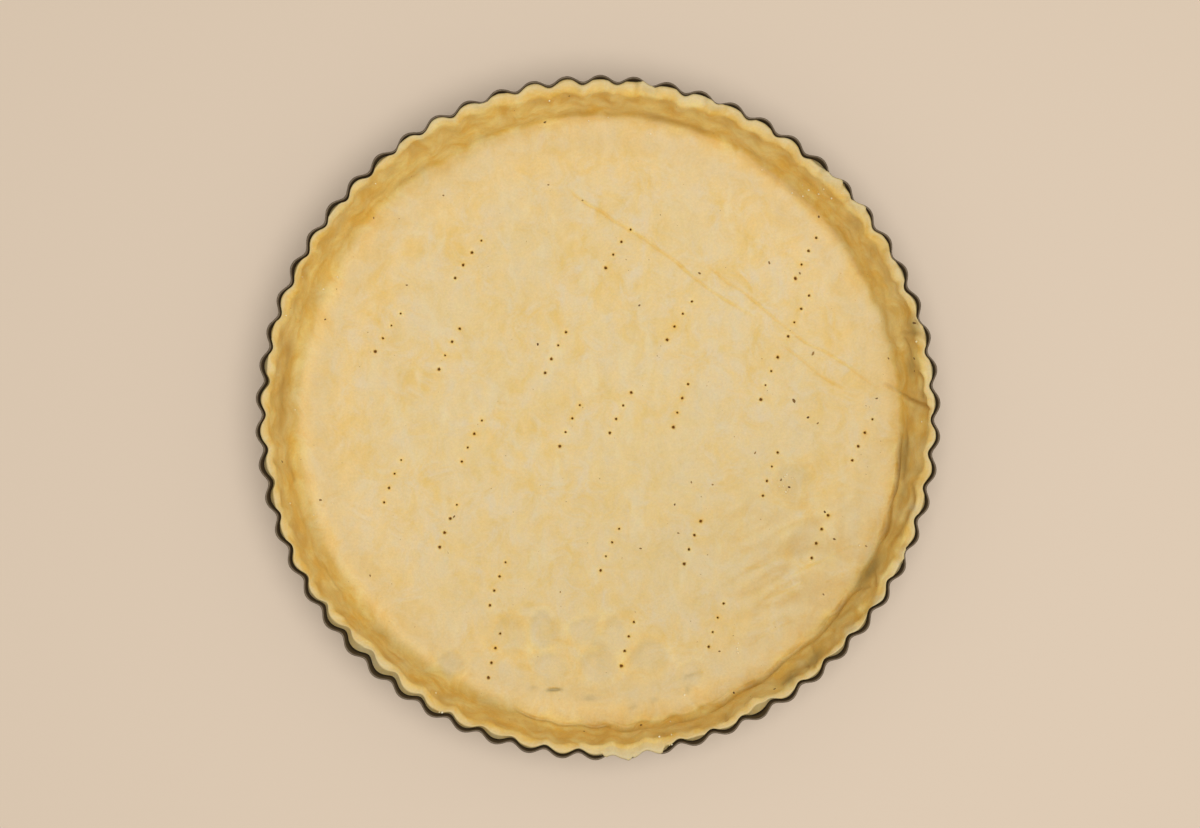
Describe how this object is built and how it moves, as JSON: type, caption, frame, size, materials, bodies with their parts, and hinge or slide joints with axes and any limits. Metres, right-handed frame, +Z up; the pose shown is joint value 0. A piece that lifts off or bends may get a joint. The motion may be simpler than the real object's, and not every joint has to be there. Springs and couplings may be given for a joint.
{
  "type": "unbaked quiche pastry case in a fluted tin",
  "caption": "Raw shortcrust pastry lining a round fluted steel tin: a flat floor pricked with a fork, a thin wall that follows the flutes, and a trimmed edge, open on top for a filling.",
  "frame": {"origin": "middle of the tin's flat underside, where it stands", "axes": "+Z up out of the open case; +Y is the top of the picture and +X its right"},
  "size_m": [0.2798, 0.2798, 0.0312],
  "materials": {
    "tin_steel": "dark baked-on coating, satin",
    "raw_pastry": "raw buttery dough, matt with a faint sheen"
  },
  "bodies": {
    "root": {"tin": "tin_steel", "pastry_case": "raw_pastry"}
  },
  "joints": []
}
